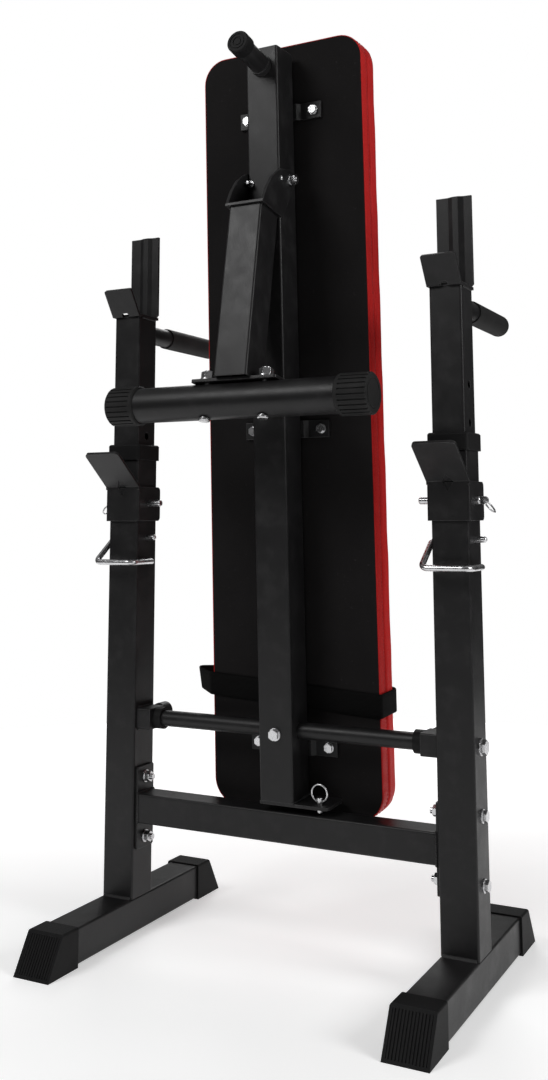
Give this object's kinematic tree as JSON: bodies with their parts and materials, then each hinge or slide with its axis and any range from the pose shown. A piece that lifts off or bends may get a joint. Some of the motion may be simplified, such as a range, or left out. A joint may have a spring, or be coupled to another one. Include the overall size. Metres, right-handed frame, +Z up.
{
  "type": "decline sit up bench",
  "caption": "Folding sit-up and decline bench stored upright in a barbell rack with sliding posts, bar catches, dip handles and a swing-out leg.",
  "frame": {"origin": "on the floor, midway between the uprights, under the bench rod's axis", "axes": "+X across the rack to the side with the lock pin, +Y from the board side of the stored bench to its pad side, +Z up"},
  "size_m": [0.6116, 0.427, 1.2678],
  "materials": {
    "black_steel": "satin black powder coat",
    "black_plastic": "fine-grained moulded plastic",
    "black_rubber": "matt rubber",
    "zinc_steel": "bright zinc plate",
    "black_board": "board under black lining",
    "red_vinyl": "matt red vinyl over foam",
    "black_webbing": "woven webbing"
  },
  "bodies": {
    "rack": {"base_tube_l": "black_steel", "foot_cap_l_front": "black_plastic", "foot_cap_l_back": "black_plastic", "upright_l": "black_steel", "collar_l": "black_plastic", "beam_plate_l": "black_steel", "rod_block_l": "black_steel", "catch_l": "black_steel", "base_tube_r": "black_steel", "foot_cap_r_front": "black_plastic", "foot_cap_r_back": "black_plastic", "upright_r": "black_steel", "collar_r": "black_plastic", "beam_plate_r": "black_steel", "rod_block_r": "black_steel", "catch_r": "black_steel", "crossbeam": "black_steel", "beam_bolts": "zinc_steel", "rod_bushes": "black_plastic", "rod_bosses": "black_steel", "rod_end_bolts": "zinc_steel"},
    "post_l": {"post_tube_l": "black_steel", "cradle_l": "black_steel", "handle_stub_l": "black_steel", "handle_grip_l": "black_rubber"},
    "catch_pin_l": {"catch_pin_l": "zinc_steel"},
    "split_ring_l": {"split_ring_l": "zinc_steel"},
    "bail_l": {"bail_l": "zinc_steel"},
    "post_r": {"post_tube_r": "black_steel", "cradle_r": "black_steel", "handle_stub_r": "black_steel", "handle_grip_r": "black_rubber"},
    "catch_pin_r": {"catch_pin_r": "zinc_steel"},
    "split_ring_r": {"split_ring_r": "zinc_steel"},
    "bail_r": {"bail_r": "zinc_steel"},
    "bench": {"rod": "black_steel", "spine": "black_steel", "lock_tab": "black_steel", "hat_bracket_head": "black_steel", "hat_bracket_middle": "black_steel", "hat_bracket_foot": "black_steel", "hat_bolts": "zinc_steel", "board": "black_board", "pad": "red_vinyl", "strap": "black_webbing", "spine_bolt": "zinc_steel", "spine_screw": "zinc_steel", "peg_tube": "black_steel", "peg_cap": "black_plastic"},
    "leg": {"leg_bracket": "black_steel", "leg_tube": "black_steel", "leg_saddle": "black_steel", "saddle_bolts": "zinc_steel", "foot_tube": "black_steel", "foot_grip_l": "black_rubber", "foot_grip_r": "black_rubber", "leg_pivot_bolt": "zinc_steel", "ear_rivet": "zinc_steel"},
    "lock_pin": {"lock_pin": "zinc_steel"},
    "lock_ring": {"lock_ring": "zinc_steel"}
  },
  "joints": [
    {"name": "bench_fold", "type": "hinge", "parent": "rack", "child": "bench", "pos_m": [0, 0, 0.2935], "axis": [1, 0, 0], "range_deg": [0, 82.9]},
    {"name": "leg_fold", "type": "hinge", "parent": "bench", "child": "leg", "pos_m": [0, -0.03116, 1.05286], "axis": [-1, 0, 0], "range_deg": [0, 77.8]},
    {"name": "lock_pin_pull", "type": "slide", "parent": "bench", "child": "lock_pin", "axis": [0, -0.041, 0.9992], "range_m": [0, 0.02]},
    {"name": "lock_ring_swing", "type": "hinge", "parent": "lock_pin", "child": "lock_ring", "pos_m": [0.057, -0.00642, 0.20596], "axis": [1, 0, 0], "range_deg": [-85, 85]},
    {"name": "post_l_raise", "type": "slide", "parent": "rack", "child": "post_l", "axis": [0, 0, 1], "range_m": [0, 0.1]},
    {"name": "catch_pin_l_pull", "type": "slide", "parent": "rack", "child": "catch_pin_l", "axis": [-1, 0, 0], "range_m": [0, 0.09]},
    {"name": "split_ring_l_swing", "type": "hinge", "parent": "catch_pin_l", "child": "split_ring_l", "pos_m": [-0.292, 0, 0.6], "axis": [0, 1, 0], "range_deg": [-40, 130]},
    {"name": "bail_l_swing", "type": "hinge", "parent": "rack", "child": "bail_l", "pos_m": [-0.253, 0, 0.55], "axis": [-1, 0, 0], "range_deg": [-20, 55]},
    {"name": "post_r_raise", "type": "slide", "parent": "rack", "child": "post_r", "axis": [0, 0, 1], "range_m": [0, 0.1]},
    {"name": "catch_pin_r_pull", "type": "slide", "parent": "rack", "child": "catch_pin_r", "axis": [1, 0, 0], "range_m": [0, 0.09]},
    {"name": "split_ring_r_swing", "type": "hinge", "parent": "catch_pin_r", "child": "split_ring_r", "pos_m": [0.292, 0, 0.6], "axis": [0, -1, 0], "range_deg": [-40, 130]},
    {"name": "bail_r_swing", "type": "hinge", "parent": "rack", "child": "bail_r", "pos_m": [0.253, 0, 0.55], "axis": [-1, 0, 0], "range_deg": [-20, 55]}
  ]
}
